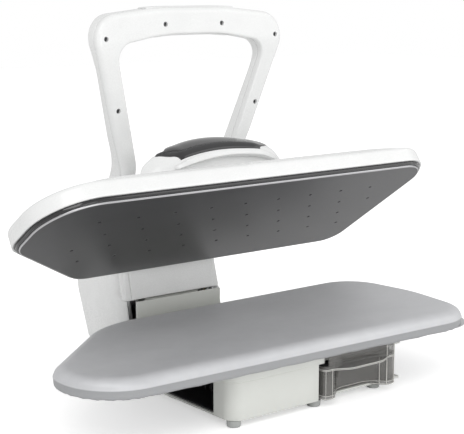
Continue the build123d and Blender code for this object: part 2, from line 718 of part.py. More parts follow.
def make_carriers():
    x0 = center_x + carrier_offset
    x1 = x0 + carrier_thickness
    eye = 11.0
    foot_v = rim_back - 35
    foot = [(foot_v, sole_thickness, 1), (foot_v + 18, sole_thickness, 1), (foot_v + 20, 30, 10),
            (pivot_v + 2, pivot_h - eye, 6), (pivot_v + eye, pivot_h, 8), (pivot_v + 2, pivot_h + eye, 8),
            (pivot_v - 14, pivot_h + 9, 12), (foot_v, 38, 8)]
    plate = side_prism(foot, x0, x1)
    plate += rod_x(eye, x0, x1, pivot_v, pivot_h)
    leg = 6.5
    dy, dz = head_v - pivot_v, head_h - pivot_h
    length = hypot(dy, dz)
    ny, nz = -dz / length * leg, dy / length * leg
    plate += side_prism([(pivot_v + ny, pivot_h + nz, 0), (head_v + ny, head_h + nz, 0),
                         (head_v - ny, head_h - nz, 0), (pivot_v - ny, pivot_h - nz, 0)], x0, x1)
    plate += rod_x(leg, x0, x1, head_v, head_h)
    plate += block(x0, x0 + 16, foot_v, foot_v + 18, sole_thickness, sole_thickness + 3)
    plate -= rod_x(8, x0 - 1, x1 + 1, pivot_v, pivot_h)
    plate -= rod_x(link_pin_radius, x0 - 1, x1 + 1, head_v, head_h)
    for name, solid in zip(("platen_carrier_right", "platen_carrier_left"), both_sides(plate)):
        save_on_platen(name, solid)
    bush = ring_x(8, pivot_shaft_radius + shaft_play, x0, x1, pivot_v, pivot_h)
    save_on_platen("pivot_bushes", group(both_sides(bush)))
    pin = rod_x(link_pin_radius, x0, center_x + link_offset + link_thickness + 1.5, head_v, head_h)
    pin += rod_x(link_pin_radius + 2, center_x + link_offset + link_thickness + 1.5,
                 center_x + link_offset + link_thickness + 3, head_v, head_h)
    save_on_platen("link_head_pins", group(both_sides(pin)))
    bolts = [bolt for y in (foot_v + 4, foot_v + 14) for bolt in both_sides(
        rod_z(3, x0 + 10.5, y, sole_thickness + 3, sole_thickness + 6))]
    save_on_platen("carrier_bolts", group(bolts))


# Control pod, in the platen's frame

pod_x = center_x - 8.0
pod_half = 127.0
pod_plan = shifted(mirrored([(64, -48, 80), (106, -34, 40), (pod_half, -14, 10), (88, 0, 20), (60, 40, 30)]),
                   pod_x, 0)
pod_crown = 121.0
pod_arch = 240.0
arm_room = 65.0
arm_rise = 0.467
visor_thickness = 5.0


def arch_prism(radius, crown, y0, y1):
    """Everything under an arch whose top line runs along Y."""
    return rod_y(radius, pod_x, y0, y1, crown - radius)


def pod_solid(inset):
    plan = plan_prism(grown(pod_plan, -inset), dome_top, 140)
    side = side_prism([(-60 + inset, dome_top, 0), (60 - inset, dome_top, 0), (46 - inset, 96 - inset, 14),
                       (10, pod_crown + 1 - inset, 26), (-22, pod_crown + 1 - inset, 24),
                       (-52 + inset, 84 - inset, 6)], -200, 200)
    solid = plan & side & arch_prism(pod_arch - inset, pod_crown - inset, -90, 90)
    low = arm_room - inset
    for room in both_sides(side_prism([(90, low - 42 * arm_rise, 0), (90, 160, 0), (-90, 160, 0),
                                       (-90, low + 138 * arm_rise, 0)],
                                      center_x + 90 - inset, center_x + 160)):
        solid -= room
    return solid


def make_pod():
    shell = pod_solid(0) - (pod_solid(wall) + plan_prism(grown(pod_plan, -wall), dome_top - 1, dome_top + 4))
    visor_zone = plan_prism(rectangle(pod_x - 91, -90, pod_x + 91, -34), 40, 140)
    lens_zone = plan_prism(shifted(mirrored([(66, -70, 4), (70, -46, 10), (97, -30, 10), (76, -8, 20),
                                             (52, 14, 40), (24, 22, 60)]), pod_x, 0), 72, 140)
    lens = shell & lens_zone
    lens -= plan_prism(rectangle(-200, -90, 200, 90), 40, 80)
    housing = shell - lens_zone
    housing += (shell & lens_zone) & plan_prism(rectangle(-200, -90, 200, 90), 40, 80)
    buttons = []
    for offset in (-38.0, 0.0, 38.0):
        x = pod_x + offset
        top = pod_crown - pod_arch + sqrt(pod_arch ** 2 - offset ** 2)
        lens -= rod_z(7.4, x, 2, 90, 140)
        buttons.append(rod_z(7, x, 2, top - 8, top + 2) + rod_z(9.5, x, 2, top - 8, top - 6))
    visor_plan = plan_prism(grown(pod_plan, 7), 60, 100) - plan_prism(grown(pod_plan, 0.2), 59, 101)
    visor_plan = visor_plan & visor_zone
    arch = arch_prism(320, 84, -90, 90) - arch_prism(320, 84 - visor_thickness, -91, 91)
    visor = visor_plan & arch
    save_on_platen("pod_housing", housing)
    save_on_platen("pod_lens", lens)
    save_on_platen("pod_visor", visor)
    for name, button in zip(("power_button", "steam_button", "timer_button"), buttons):
        save_on_platen(name, button)
    board = block(pod_x - 62, pod_x + 62, -22, 26, 92, 93.6)
    for x in (pod_x - 50, pod_x + 50):
        board += rod_z(3, x, 10, dome_top + 2, 92)
    save_on_platen("control_board", board)
    mount = plan_prism(grown(pod_plan, -wall - running_gap), dome_top, dome_top + 2)
    save_on_platen("pod_bracket", mount)


make_board()
make_base()
make_water()
make_tower()
make_handle()
make_links()
make_platen()
make_carriers()
make_pod()
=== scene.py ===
from math import cos, pi, radians, sin, tan

import bmesh
import bpy
import numpy as np
from mathutils import Matrix


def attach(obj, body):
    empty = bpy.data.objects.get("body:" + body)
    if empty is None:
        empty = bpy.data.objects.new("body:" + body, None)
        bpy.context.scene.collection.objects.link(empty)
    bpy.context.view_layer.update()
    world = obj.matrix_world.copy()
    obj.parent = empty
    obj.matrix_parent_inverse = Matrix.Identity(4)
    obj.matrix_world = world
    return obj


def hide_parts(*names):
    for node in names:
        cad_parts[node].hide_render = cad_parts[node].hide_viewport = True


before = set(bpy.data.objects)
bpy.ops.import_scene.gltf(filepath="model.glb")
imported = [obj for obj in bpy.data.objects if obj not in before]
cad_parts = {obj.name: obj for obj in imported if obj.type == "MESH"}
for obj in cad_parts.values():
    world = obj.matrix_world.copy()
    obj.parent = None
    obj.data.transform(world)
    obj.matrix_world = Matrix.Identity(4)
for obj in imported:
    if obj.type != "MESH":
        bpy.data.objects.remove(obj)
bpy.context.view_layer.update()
print("frame loaded")

# Lengths below are in millimetres, and a finished mesh is in metres.


def unit(vectors):
    return vectors / np.maximum(np.linalg.norm(vectors, axis=-1, keepdims=True), 1e-9)


def roundedPath(corners, perLine, perArc, closed=True):
    # Each corner (x, y, radius) becomes an arc that touches both its edges, and each edge a row of points.
    # Returns the points and the unit normals on the right of the way round.
    c = np.array(corners, float)
    here, radius = c[:, :2], np.maximum(c[:, 2], 0.05)[:, None]
    before, after = np.roll(here, 1, 0), np.roll(here, -1, 0)
    toBefore, toAfter = unit(before - here), unit(after - here)
    half = np.arccos(np.clip((toBefore * toAfter).sum(1, keepdims=True), -1, 1)) / 2
    step = here - before, after - here
    turn = np.sign(step[0][:, :1] * step[1][:, 1:] - step[0][:, 1:] * step[1][:, :1])
    reach = radius / np.tan(half)
    start, end = here + toBefore * reach, here + toAfter * reach
    middle = here + unit(toBefore + toAfter) * radius / np.sin(half)
    angle = (turn * (pi - 2 * half)) * np.linspace(0, 1, perArc + 1)[None, :]
    spoke = (start - middle)[:, None, :]
    ca, sa = np.cos(angle)[..., None], np.sin(angle)[..., None]
    turned = np.concatenate([spoke[..., :1] * ca - spoke[..., 1:] * sa,
                             spoke[..., :1] * sa + spoke[..., 1:] * ca], axis=-1)
    arcs = middle[:, None, :] + turned
    arcNormals = turned / radius[:, None] * turn[:, None]
    share = np.linspace(0, 1, perLine + 2)[1:-1][None, :, None]
    nextStart = np.roll(start, -1, 0)
    if not closed:
        arcs[0], arcs[-1] = here[0], here[-1]
        end[0], nextStart[-2] = here[0], here[-1]
    way = unit(nextStart - end)
    lineNormal = np.stack([way[:, 1], -way[:, 0]], axis=-1)[:, None, :]
    lines = end[:, None, :] + (nextStart - end)[:, None, :] * share
    lineNormals = np.broadcast_to(lineNormal, lines.shape)
    if not closed:
        arcNormals[0], arcNormals[-1] = lineNormal[0], lineNormal[-2]
    points = np.concatenate([arcs, lines], axis=1).reshape(-1, 2)
    normals = np.concatenate([arcNormals, lineNormals], axis=1).reshape(-1, 2)
    if not closed:
        points, normals = points[perArc:-perArc - perLine], normals[perArc:-perArc - perLine]
    return points, normals


def mirrored(half):
    return half + [(-x, y, radius) for x, y, radius in reversed(half)]


def moved(corners, dx, dy):
    return [(x + dx, y + dy, radius) for x, y, radius in corners]


def gridFaces(rows, columns, closeRows=False, closeColumns=False):
    r, c = np.meshgrid(np.arange(rows if closeRows else rows - 1),
                       np.arange(columns if closeColumns else columns - 1), indexing="ij")
    down, right = (r + 1) % rows, (c + 1) % columns
    return np.stack([r * columns + c, r * columns + right, down * columns + right, down * columns + c],
                    axis=-1).reshape(-1, 4)


def carried(points, normals, profile):
    # A profile of (distance outwards, height) pairs stands on every point of the path.
    profile = np.array(profile, float)
    flat = points[:, None, :] + normals[:, None, :] * profile[None, :, :1]
    height = np.broadcast_to(profile[None, :, 1:], flat.shape[:2] + (1,))
    return np.concatenate([flat, height], axis=-1)


def quarter(count):
    return np.linspace(0, pi / 2, count)


def makePiece(name, parts, body, nodes, material, wall=0.0, closed=True):
    # parts are (points, faces) pairs. Doubles are merged and normals made to agree. An open piece is
    # turned so that its faces point away from its middle, and a wall then grows inwards.
    points, faces, base = [], [], 0
    for partPoints, partFaces in parts:
        flat = np.asarray(partPoints, float).reshape(-1, 3)
        points.append(flat)
        faces += [[int(i) + base for i in face] for face in partFaces]
        base += len(flat)
    mesh = bpy.data.meshes.new(name)
    mesh.from_pydata((np.concatenate(points) * 0.001).tolist(), [], faces)
    work = bmesh.new()
    work.from_mesh(mesh)
    bmesh.ops.remove_doubles(work, verts=work.verts, dist=2e-6)
    bmesh.ops.dissolve_degenerate(work, edges=work.edges, dist=1e-6)
    bmesh.ops.recalc_face_normals(work, faces=work.faces)
    if not closed:
        centre = np.mean([f.calc_center_median() for f in work.faces], axis=0)
        outward = sum(f.normal.dot(f.calc_center_median() - type(f.normal)(centre)) * f.calc_area()
                      for f in work.faces)
        if outward < 0:
            bmesh.ops.reverse_faces(work, faces=work.faces)
    work.to_mesh(mesh)
    work.free()
    mesh.polygons.foreach_set("use_smooth", np.ones(len(mesh.polygons), bool))
    mesh.set_sharp_from_angle(angle=radians(38))
    piece = bpy.data.objects.new(name, mesh)
    bpy.context.scene.collection.objects.link(piece)
    if wall:
        shell = piece.modifiers.new("wall", "SOLIDIFY")
        shell.thickness, shell.offset, shell.use_even_offset = wall * 0.001, -1, False
    mesh.materials.append(material)
    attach(piece, body)
    if nodes:
        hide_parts(*nodes)
    return piece


def grid(points, closeRows=False, closeColumns=False):
    return points, gridFaces(points.shape[0], points.shape[1], closeRows, closeColumns)


def turnedShape(profile, centre, count=48):
    # A profile of (radius, height) pairs turned about the vertical through a centre.
    profile, angle = np.array(profile, float), np.linspace(0, 2 * pi, count, endpoint=False)
    x = centre[0] + np.outer(np.cos(angle), profile[:, 0])
    y = centre[1] + np.outer(np.sin(angle), profile[:, 0])
    z = centre[2] + np.broadcast_to(profile[:, 1], x.shape)
    return grid(np.stack([x, y, z], axis=-1), closeRows=True)


# Materials


class Wire:
    # A shader value that can be written in sums and products.
    def __init__(self, paint, socket):
        self.paint, self.socket = paint, socket

    def maths(self, kind, other=None, swap=False):
        pair = (other, self) if swap else (self, other)
        return self.paint.add("ShaderNodeMath", {"operation": kind},
                              {i: v for i, v in enumerate(pair) if v is not None})

    def __add__(self, other):
        return self.maths("ADD", other)

    def __radd__(self, other):
        return self.maths("ADD", other, True)

    def __sub__(self, other):
        return self.maths("SUBTRACT", other)

    def __rsub__(self, other):
        return self.maths("SUBTRACT", other, True)

    def __mul__(self, other):
        return self.maths("MULTIPLY", other)

    def __rmul__(self, other):
        return self.maths("MULTIPLY", other, True)


class Paint:
    # One material: add() makes a node with its settings and inputs and gives back its output.
    def __init__(self, name, color, roughness, **fixed):
        self.material = bpy.data.materials.new(name)
        self.material.use_nodes = True
        self.tree = self.material.node_tree
        self.shader = self.tree.nodes["Principled BSDF"]
        self.place = self.add("ShaderNodeTexCoord", output="Object")
        self.set("Base Color", (*color, 1))
        self.set("Roughness", roughness)
        for socket, value in fixed.items():
            self.set(socket.replace("_", " "), value)

    def set(self, socket, value):
        target = self.shader.inputs[socket]
        if isinstance(value, Wire):
            self.tree.links.new(value.socket, target)
        else:
            target.default_value = value

    def add(self, kind, settings=None, inputs=None, output=0):
        node = self.tree.nodes.new(kind)
        for key, value in (settings or {}).items():
            if key == "stops":
                ramp = node.color_ramp
                while len(ramp.elements) < len(value):
                    ramp.elements.new(0.5)
                for element, (position, color) in zip(ramp.elements, value):
                    element.position, element.color = position, color
            else:
                setattr(node, key, value)
        for key, value in (inputs or {}).items():
            if isinstance(value, Wire):
                self.tree.links.new(value.socket, node.inputs[key])
            else:
                node.inputs[key].default_value = value
        return Wire(self, node.outputs[output])

    def noise(self, scale, detail, rough=0.55, stretch=None):
        place = self.place
        if stretch:
            place = self.add("ShaderNodeMapping", {}, {"Vector": place, "Scale": stretch})
        inputs = {"Vector": place, "Scale": scale, "Detail": detail, "Roughness": rough}
        return self.add("ShaderNodeTexNoise", {}, inputs, "Fac")

    def shades(self, mask, dark, light, low=0.3, high=0.7):
        stops = [(low, (*dark, 1)), (high, (*light, 1))]
        return self.add("ShaderNodeValToRGB", {"stops": stops}, {0: mask})

    def relief(self, height, strength, distance, edge=0.0):
        inputs = {"Height": height, "Strength": strength, "Distance": distance}
        if edge:
            inputs["Normal"] = self.add("ShaderNodeBevel", {"samples": 6}, {"Radius": edge})
        self.set("Normal", self.add("ShaderNodeBump", {}, inputs))


def plastic(name, light, dark, roughness, grain, edge=0.0, **fixed):
    # Moulded plastic: slow drift in colour, a fine grain in relief and gloss that varies a little.
    paint = Paint(name, light, roughness, **fixed)
    drift, fine = paint.noise(14, 3), paint.noise(grain, 2)
    paint.set("Base Color", paint.shades(drift, dark, light))
    paint.set("Roughness", roughness + (fine - 0.5) * 0.12 + (drift - 0.5) * 0.06)
    paint.relief(fine, 0.12, 0.00005, edge)
    return paint.material


def metal(name, light, dark, roughness, stretch):
    # Rolled or turned metal: long fine streaks in colour, gloss and relief.
    paint = Paint(name, light, roughness, Metallic=1.0)
    streak, stain = paint.noise(420, 3, 0.6, stretch), paint.noise(20, 4)
    paint.set("Base Color", paint.shades(streak * 0.6 + stain * 0.4, dark, light, 0.35, 0.65))
    paint.set("Roughness", roughness + (streak - 0.5) * 0.2 + (stain - 0.5) * 0.15)
    paint.relief(streak, 0.15, 0.00004, 0.0006)
    return paint.material


# Light and dark shade of the white and of the warm grey plastic
whites = (0.83, 0.835, 0.83), (0.80, 0.805, 0.80)
greys = (0.70, 0.71, 0.675), (0.665, 0.675, 0.64)

shellWhite = plastic("shellWhite", *whites, 0.27, 900, Coat_Weight=0.25, Coat_Roughness=0.12)
cadWhite = plastic("cadWhite", *whites, 0.3, 900, 0.0006)
baseGrey = plastic("baseGrey", *greys, 0.38, 1100)
cadGrey = plastic("cadGrey", *greys, 0.4, 1100, 0.0006)
blackPlastic = plastic("blackPlastic", (0.022, 0.022, 0.023), (0.014, 0.014, 0.015), 0.42, 800, 0.0005)
glossBlack = plastic("glossBlack", (0.010, 0.010, 0.011), (0.007, 0.007, 0.008), 0.07, 300,
                     Coat_Weight=0.6, Coat_Roughness=0.03)
steelBright = metal("steelBright", (0.62, 0.62, 0.63), (0.50, 0.50, 0.51), 0.32, (1, 1, 12))
steelDark = metal("steelDark", (0.12, 0.12, 0.125), (0.07, 0.07, 0.075), 0.38, (1, 1, 8))
castAlloy = metal("castAlloy", (0.55, 0.55, 0.56), (0.42, 0.42, 0.43), 0.5, (1, 1, 1))
brassPlain = metal("brassPlain", (0.72, 0.53, 0.25), (0.58, 0.41, 0.18), 0.33, (1, 10, 1))
rubberGrey = plastic("rubberGrey", (0.42, 0.43, 0.42), (0.36, 0.37, 0.36), 0.72, 700)
rubberBlack = plastic("rubberBlack", (0.03, 0.03, 0.03), (0.02, 0.02, 0.02), 0.75, 500, 0.0008)
hoseClear = plastic("hoseClear", (0.62, 0.62, 0.58), (0.55, 0.55, 0.51), 0.35, 400)
boardGreen = plastic("boardGreen", (0.03, 0.20, 0.08), (0.02, 0.14, 0.05), 0.4, 300, 0.0003)
# Pale gloss for the tank's edge beads: a painted highlight standing for light caught in the clear
# plastic's edges.
paintedEdgeHighlight = plastic("paintedEdgeHighlight", (0.70, 0.69, 0.66), (0.60, 0.59, 0.56), 0.15, 500, Coat_Weight=0.5,
                    Coat_Roughness=0.05)
buttonGrey = plastic("buttonGrey", (0.16, 0.165, 0.175), (0.13, 0.135, 0.145), 0.3, 600, Coat_Weight=0.3)


def soleCoat():
    # Non-stick sole: dark satin with a faint sparkle and soft wiping marks along its length.
    paint = Paint("soleCoat", (0.075, 0.075, 0.078), 0.34, Metallic=0.55)
    wipe, speck = paint.noise(9, 4, 0.6, (0.35, 1.6, 1.0)), paint.noise(1400, 2)
    paint.set("Base Color", paint.shades(wipe, (0.062, 0.062, 0.065), (0.092, 0.092, 0.095)))
    paint.set("Roughness", 0.33 + (wipe - 0.5) * 0.16 + (speck - 0.5) * 0.12)
    paint.relief(speck, 0.15, 0.00004, 0.0012)
    return paint.material


def silverCloth():
    # Coated cotton: fine weave in relief, a metallic sheen broken by the threads and soft creases, and
    # painted shade: the side below the piping is coloured a darker grey, standing for the shade it lies in
    # under the top.
    paint = Paint("silverCloth", (0.58, 0.585, 0.60), 0.42, Metallic=0.25)
    threads = {"Vector": paint.place, "Scale": 520.0, "Distortion": 0.6}
    xWave = paint.add("ShaderNodeTexWave", {"bands_direction": "X"}, threads, "Fac")
    yWave = paint.add("ShaderNodeTexWave", {"bands_direction": "Y"}, threads, "Fac")
    crease, cloud = paint.noise(7, 3, 0.5, (0.8, 1.5, 1.0)), paint.noise(60, 4)
    weave = xWave * 0.5 + yWave * 0.5
    cloth = paint.shades(crease * 0.7 + cloud * 0.3, (0.53, 0.535, 0.55), (0.63, 0.635, 0.65))
    # Painted shade: below the top's edge the cloth is mixed towards a darker grey, standing for the side
    # lying in shade.
    height = paint.add("ShaderNodeSeparateXYZ", {}, {"Vector": paint.place}, "Z")
    top = paint.add("ShaderNodeMapRange", {}, {"Value": height, "From Min": 0.0855, "From Max": 0.0868,
                                              "To Min": 0.0, "To Max": 1.0})
    low = (0.37, 0.375, 0.385, 1)
    clothWithPaintedShade = paint.add("ShaderNodeMix", {"data_type": "RGBA"}, {0: top, 6: low, 7: cloth}, 2)
    paint.set("Base Color", clothWithPaintedShade)
    paint.set("Roughness", 0.40 + (cloud - 0.5) * 0.12 + (weave - 0.5) * 0.10)
    paint.relief(weave * 0.12 + crease * 1.0, 0.5, 0.0012)
    return paint.material


def smokyClear():
    # Tinted clear plastic: thin walls that darken what lies behind them.
    paint = Paint("smokyClear", (0.20, 0.195, 0.185), 0.05, IOR=1.5, Coat_Weight=0.8, Coat_Roughness=0.02)
    haze = paint.noise(30, 3)
    paint.set("Base Color", paint.shades(haze, (0.17, 0.165, 0.155), (0.24, 0.234, 0.222)))
    paint.set("Roughness", 0.04 + haze * 0.05)
    paint.set("Alpha", 0.55)
    return paint.material


def foam():
    # Open-cell foam.
    paint = Paint("foam", (0.70, 0.68, 0.60), 0.9)
    cell = paint.noise(600, 2)
    paint.set("Base Color", paint.shades(cell, (0.58, 0.56, 0.49), (0.72, 0.70, 0.62)))
    paint.relief(cell, 0.6, 0.0006)
    return paint.material


soleDark, silver, smoky, padFoam = soleCoat(), silverCloth(), smokyClear(), foam()
print("materials made")

finishes = {
    shellWhite: [],
    cadWhite: ["handle_front_shell", "handle_rear_shell", "grip", "platen_housing", "pod_housing",
               "pod_visor", "pod_bracket"],
    cadGrey: ["base_tray", "base_housing", "base_deck", "tower_cover"],
    blackPlastic: ["recess_liner", "tank_lid", "filler_plug", "tank_valve", "tank_socket", "water_pump",
                   "power_inlet"],
    glossBlack: ["insulating_ring", "pod_lens"],
    steelBright: ["board_plate", "board_screws", "tower_left", "tower_right", "hinge_pins",
                  "link_foot_pins", "link_head_pins", "handle_frame_left", "handle_frame_right",
                  "handle_tubes", "pivot_shaft", "platen_carrier_left", "platen_carrier_right",
                  "control_link_left", "control_link_right", "thermal_fuse"],
    steelDark: ["tower_bolts", "lift_springs", "handle_screws", "shaft_clips", "carrier_bolts",
                "heating_element"],
    castAlloy: ["steam_chamber"],
    brassPlain: ["inlet_pins", "hinge_bushes", "pivot_bushes", "thermostat", "steam_inlet"],
    rubberGrey: ["feet"],
    rubberBlack: ["open_bumpers"],
    hoseClear: ["water_hose", "pump_coupler"],
    boardGreen: ["control_board"],
    buttonGrey: ["power_button", "steam_button", "timer_button"],
    soleDark: ["sole_plate"],
    silver: ["board_cover"],
    padFoam: ["board_pad"],
    smoky: ["water_tank"],
}
for material, names in finishes.items():
    for name in names:
        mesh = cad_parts[name].data
        mesh.materials.clear()
        mesh.materials.append(material)

# Board

board = {
    "corners": [(-327, -117, 76), (300, -135, 64), (317, 0, 180), (300, 130, 70), (-169, 128, 130),
                (-327, -13, 53)],
    "middleY": -109.0,
    "bottom": 73.0,
    "top": 99.5,
    "topRound": (19.0, 13.0),
    "bottomRound": 5.0,
    "wrap": 28.0,
    "clothWall": 1.1,
    "piping": [(0.5, -1.6), (0.9, -0.6), (0.5, 0.3)],
    "flatTopFrom": -26.0,
    "gathers": 95,
    "gatherHeight": 0.5,
    "gatherReach": 6.0,
    "padBottom": 78.0,
    "padTop": 97.4,
}


def filledRings(points, normals, profile, centreAt, fillSteps):
    # Rings of a carried profile, then straight lines from its last ring to one point.
    rings = carried(points, normals, profile)
    last = rings[:, -1:, :]
    share = np.linspace(0, 1, fillSteps + 1)[1:][None, :, None]
    return np.concatenate([rings, last + (np.array(centreAt, float) - last) * share], axis=1)


def makeBoard():
    # Cloth: hem under the board, round the lower edge, up the side, round the upper edge, over the top.
    b = board
    points, normals = roundedPath(moved(b["corners"], 0, b["middleY"]), 26, 18)
    a, (wide, tall), q = quarter(12), b["topRound"], b["bottomRound"]
    hem = [(-b["wrap"], b["bottom"]), (-b["wrap"] * 0.6, b["bottom"]), (-q, b["bottom"])]
    low = list(zip(-q + q * np.sin(a), b["bottom"] + q - q * np.cos(a)))[1:]
    high = list(zip(-wide + wide * np.cos(a), b["top"] - tall + tall * np.sin(a)))
    piping = [(out, b["top"] - tall + rise) for out, rise in b["piping"]]
    cloth = filledRings(points, normals, hem + low + piping + high[1:] + [(b["flatTopFrom"], b["top"])],
                        (0, b["middleY"], b["top"]), 24)
    # The hem is gathered by a cord: a sine round the edge that fades out above the bottom.
    around = np.linspace(0, 2 * pi, len(points), endpoint=False)
    fade = np.clip((b["bottom"] + b["gatherReach"] - cloth[..., 2].T) / b["gatherReach"], 0, 1)
    gather = b["gatherHeight"] * np.sin(around * b["gathers"]) * fade
    cloth[..., 2] += gather.T + b["gatherHeight"] * (gather.T != 0)
    piece = makePiece("boardCover", [grid(cloth, closeRows=True)], "base", ["board_cover"], silver,
                      wall=b["clothWall"], closed=False)

    # Pad: a rounded lower edge, a wide shoulder under the cloth's own, and a flat floor.
    inner = [(-6 + 4 * sin(t), b["padBottom"] + 4 - 4 * cos(t)) for t in quarter(5)]
    inner += [(-19.5 + 17.5 * cos(t), 86.2 + 11.2 * sin(t)) for t in quarter(9)]
    body = filledRings(points, normals, inner, (0, b["middleY"], b["padTop"]), 8)
    floor = filledRings(points, normals, [(-6, b["padBottom"])], (0, b["middleY"], b["padBottom"]), 6)
    pad = makePiece("boardPad", [grid(body, closeRows=True), grid(floor, closeRows=True)], "base",
                    ["board_pad"], padFoam)


makeBoard()
print("board made")

# Base

base = {
    "wallPath": [(-118, -174, 0), (-118, -213, 20), (28, -213, 1.5), (28, -50, 1), (190, -50, 4),
                 (190, 70, 10), (-118, 70, 10), (-118, 30, 0)],
    "deck": [(-119, -214, 21), (38, -214, 3), (38, -205, 1), (190, -205, 8), (190, 71, 11),
             (-119, 71, 11)],
    "floor": 8.5,
    "railTop": 11.5,
    "lip": 58.7,
    "deckTop": 73.0,
    "wall": 3.0,
    "rail": [(-118, 30, 0), (-118, -80, 0), (-118, -174, 0)],
    "deckMiddle": (30, -70),
    "feet": [(-107, -202), (28, -202), (147, -192), (-107, 48), (147, 48), (-50, 212), (78, 212)],
    "foot": [(0, 0), (7.2, 0), (8.4, 0.3), (9.0, 1.2), (9.3, 3.0), (9.4, 7.6), (9.2, 8.5), (0, 8.5)],
}


def capped(points):
    # A closed profile carried along an open path, with both ends filled.
    count, ring = points.shape[0], points.shape[1]
    faces = [list(f) for f in gridFaces(count, ring, closeColumns=True)]
    return points, faces + [list(range(ring)), [(count - 1) * ring + i for i in range(ring)]]


def makeBase():
    b = base
    w, low, high = b["wall"], b["floor"], b["lip"]
    # The wall is open at the recess, where only a low rail runs on. Both start with the same rounded foot.
    toe = [(-w, low), (-1.2, low), (-0.35, low + 0.35), (0, low + 1.2)]
    points, normals = roundedPath(b["wallPath"], 12, 14, closed=False)
    wall = capped(carried(points, normals, toe + [(0, high - 0.3), (-0.3, high), (-w, high)]))
    points, normals = roundedPath(b["rail"], 6, 2, closed=False)
    top = b["railTop"]
    rail = capped(carried(points, normals, toe + [(0, top - 0.5), (-0.5, top), (-w, top)]))
    makePiece("baseHousing", [wall, rail], "base", ["base_housing"], baseGrey)

    points, normals = roundedPath(b["deck"], 10, 12)
    a, top = quarter(6), b["deckTop"]
    under = [(-w, top - w), (-w, high), (-1.4, high)]
    lower = list(zip(-1.4 + 1.4 * np.sin(a), high + 1.4 - 1.4 * np.cos(a)))[1:]
    upper = list(zip(-2 + 2 * np.cos(a), top - 2 + 2 * np.sin(a)))
    outer = filledRings(points, normals, under + lower + upper, (*b["deckMiddle"], top), 6)
    ceiling = filledRings(points, normals, [(-w, top - w)], (*b["deckMiddle"], top - w), 6)
    makePiece("baseDeck", [grid(outer, closeRows=True), grid(ceiling, closeRows=True)], "base",
              ["base_deck"], baseGrey)

    feet = [turnedShape(b["foot"], (x, y, 0)) for x, y in b["feet"]]
    makePiece("feet", feet, "base", ["feet"], rubberGrey)


makeBase()
print("base made")

# Water tank

tank = {
    "left": 33.0,
    "right": 163.0,
    "front": -219.0,
    "back": -56.0,
    "wall": 2.2,
    "floorTop": 14.2,
    "floorBottom": 11.8,
    "rim": 55.0,
    "lipEnd": 38.8,
    "fasciaBack": -207.0,
    "fasciaTop": 70.0,
    # (setback of the front, height, radius)
    "beads": [(-12, 48.9, 0.35), (-12, 50.5, 0.5), (20, 10.4, 0.5), (20, 14.5, 0.35)],
    # (x, y, top, radius)
    "uprights": [(34.8, -218.6, 51, 0.3), (45.5, -219.9, 51, 0.35), (138.0, -213.5, 48.6, 0.5),
                 (146.0, -219.6, 70, 0.6), (160.3, -219.2, 70, 0.6), (162.8, -214.5, 55, 0.35)],
}


def tankOutline(setback):
    t = tank
    middle = t["front"] + setback
    return roundedPath([(t["left"], t["front"], 6), (t["left"] + 16, t["front"] - 1, 8),
                        (t["left"] + 38, middle, 30), (t["right"] - 36, middle, 30),
                        (t["right"] - 14, t["front"] - 1, 8), (t["right"], t["front"], 6),
                        (t["right"], t["back"], 6), (t["left"], t["back"], 6)], 8, 10)


